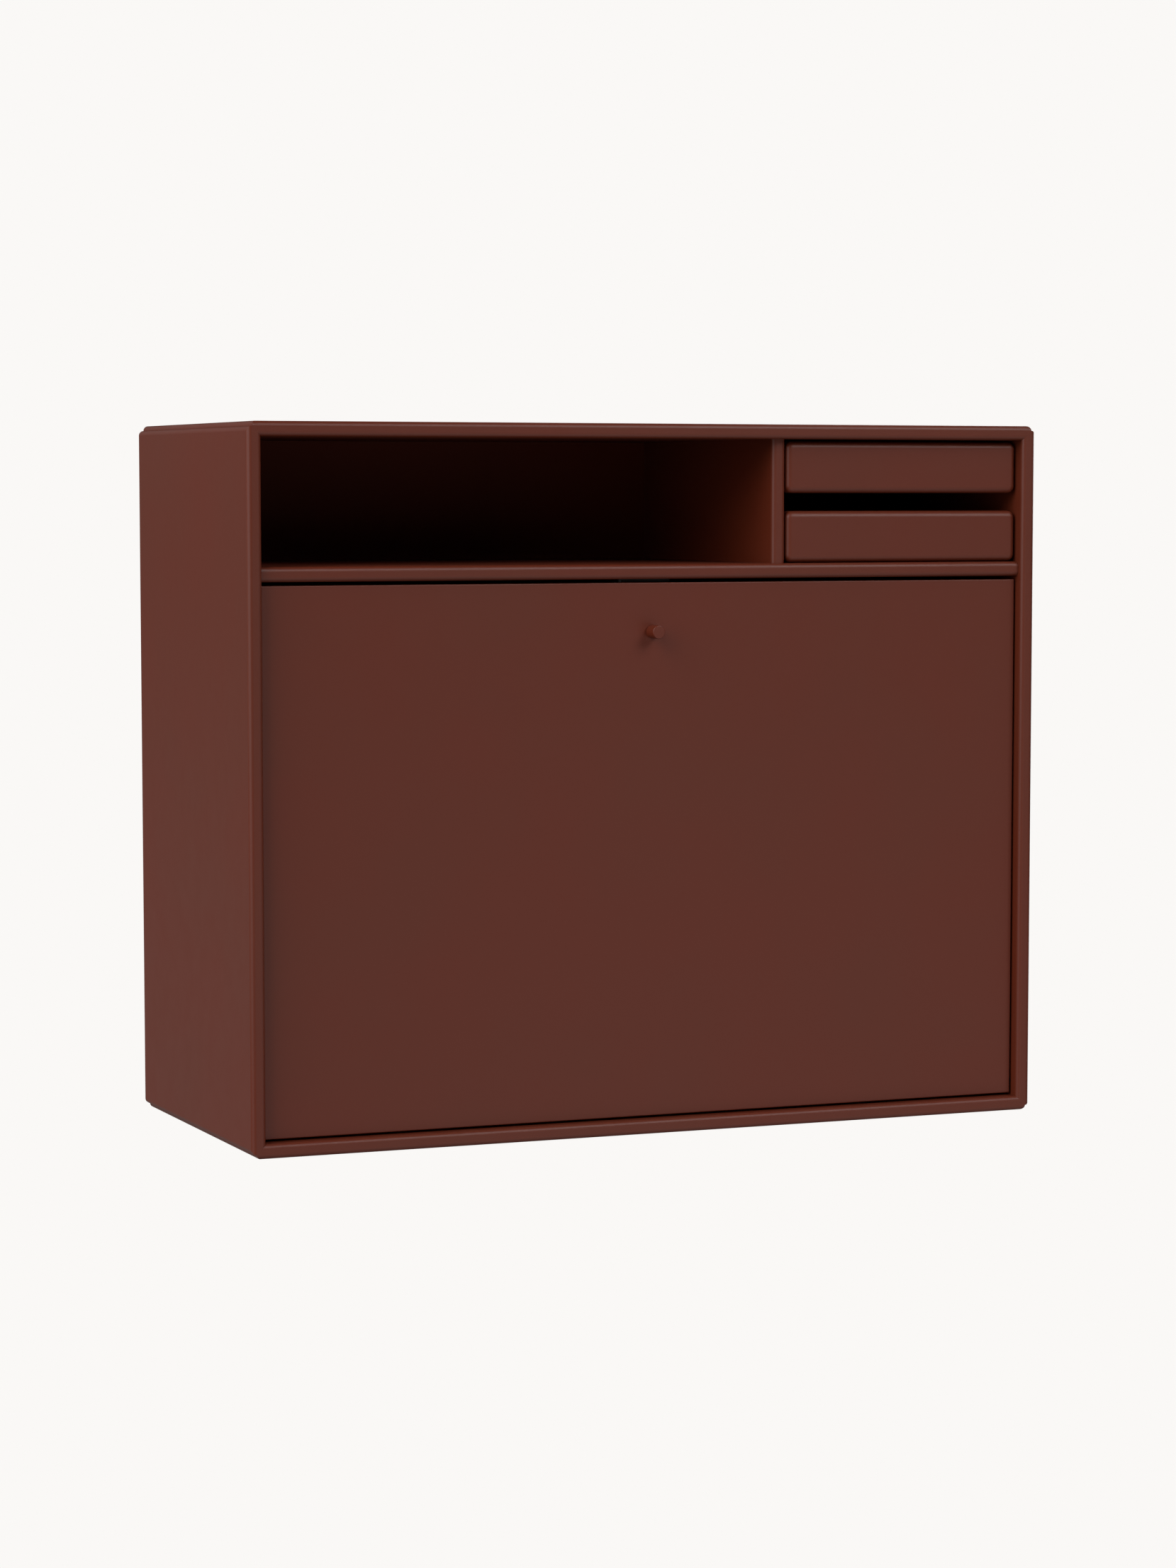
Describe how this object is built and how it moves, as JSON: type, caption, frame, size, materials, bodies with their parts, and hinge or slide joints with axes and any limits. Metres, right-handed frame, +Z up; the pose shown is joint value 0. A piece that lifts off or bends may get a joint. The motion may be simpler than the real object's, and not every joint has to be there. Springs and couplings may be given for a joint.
{
  "type": "wall-mounted desk",
  "caption": "Wall-hung desk cabinet with mitred boards, a drop-front writing flap on friction stays, an open compartment and sliding trays, hung from a wall rail.",
  "frame": {"origin": "middle of the wall rail's row of screw holes, on the wall plane", "axes": "+X to the right as seen from the room, +Y into the wall, +Z up"},
  "size_m": [0.696, 0.305, 0.582],
  "materials": {
    "lacquered_board": "matt lacquer",
    "bare_hardwood": "sanded",
    "dark_plastic": "moulded",
    "zinc_plated_steel": "plated"
  },
  "bodies": {
    "carcass": {"back_panel": "lacquered_board", "bottom_panel": "lacquered_board", "catch_housing": "dark_plastic", "catch_magnet": "zinc_plated_steel", "catch_screws": "zinc_plated_steel", "corner_splines": "bare_hardwood", "divider": "lacquered_board", "guide_bracket_screws": "zinc_plated_steel", "hanger_screws": "zinc_plated_steel", "joint_dowels": "bare_hardwood", "left_guide_bracket": "zinc_plated_steel", "left_hanger": "zinc_plated_steel", "left_side_panel": "lacquered_board", "lower_left_runner": "bare_hardwood", "lower_right_runner": "bare_hardwood", "middle_shelf": "lacquered_board", "pivot_bushes": "dark_plastic", "right_guide_bracket": "zinc_plated_steel", "right_hanger": "zinc_plated_steel", "right_side_panel": "lacquered_board", "runner_screws": "zinc_plated_steel", "top_panel": "lacquered_board", "upper_left_runner": "bare_hardwood", "upper_right_runner": "bare_hardwood", "wall_rail": "zinc_plated_steel"},
    "flap": {"flap_panel": "lacquered_board", "flap_knob": "lacquered_board", "knob_screw": "zinc_plated_steel", "pivot_pins": "zinc_plated_steel", "strike_plate": "zinc_plated_steel", "strike_screws": "zinc_plated_steel", "right_flap_bracket": "zinc_plated_steel", "left_flap_bracket": "zinc_plated_steel", "flap_bracket_screws": "zinc_plated_steel", "stay_pins": "zinc_plated_steel"},
    "left_stay_rod": {"left_stay_rod": "zinc_plated_steel"},
    "right_stay_rod": {"right_stay_rod": "zinc_plated_steel"},
    "left_stay_guide": {"left_stay_guide": "zinc_plated_steel"},
    "right_stay_guide": {"right_stay_guide": "zinc_plated_steel"},
    "upper_tray": {"upper_tray_front": "lacquered_board", "upper_tray_left_side": "lacquered_board", "upper_tray_right_side": "lacquered_board", "upper_tray_back": "lacquered_board", "upper_tray_floor": "lacquered_board"},
    "lower_tray": {"lower_tray_front": "lacquered_board", "lower_tray_left_side": "lacquered_board", "lower_tray_right_side": "lacquered_board", "lower_tray_back": "lacquered_board", "lower_tray_floor": "lacquered_board"}
  },
  "joints": [
    {"name": "flap_hinge", "type": "hinge", "parent": "carcass", "child": "flap", "pos_m": [0, -0.284, -0.49555], "axis": [1, 0, 0], "range_deg": [0, 90]},
    {"name": "left_rod_pivot", "type": "hinge", "parent": "flap", "child": "left_stay_rod", "pos_m": [-0.3222, -0.264, -0.35735], "axis": [1, 0, 0], "range_deg": [-45, 0]},
    {"name": "left_guide_pivot", "type": "hinge", "parent": "carcass", "child": "left_stay_guide", "pos_m": [-0.3222, -0.2357, -0.36452], "axis": [1, 0, 0], "range_deg": [0, 45]},
    {"name": "right_rod_pivot", "type": "hinge", "parent": "flap", "child": "right_stay_rod", "pos_m": [0.3222, -0.264, -0.35735], "axis": [1, 0, 0], "range_deg": [-45, 0]},
    {"name": "right_guide_pivot", "type": "hinge", "parent": "carcass", "child": "right_stay_guide", "pos_m": [0.3222, -0.2357, -0.36452], "axis": [1, 0, 0], "range_deg": [0, 45]},
    {"name": "upper_tray_slide", "type": "slide", "parent": "carcass", "child": "upper_tray", "axis": [0, -1, 0], "range_m": [0, 0.18]},
    {"name": "lower_tray_slide", "type": "slide", "parent": "carcass", "child": "lower_tray", "axis": [0, -1, 0], "range_m": [0, 0.18]}
  ],
  "couplings": [
    {"joint": "left_rod_pivot", "follows": "flap_hinge", "ratio": -0.5},
    {"joint": "left_guide_pivot", "follows": "flap_hinge", "ratio": 0.5},
    {"joint": "right_rod_pivot", "follows": "flap_hinge", "ratio": -0.5},
    {"joint": "right_guide_pivot", "follows": "flap_hinge", "ratio": 0.5}
  ]
}
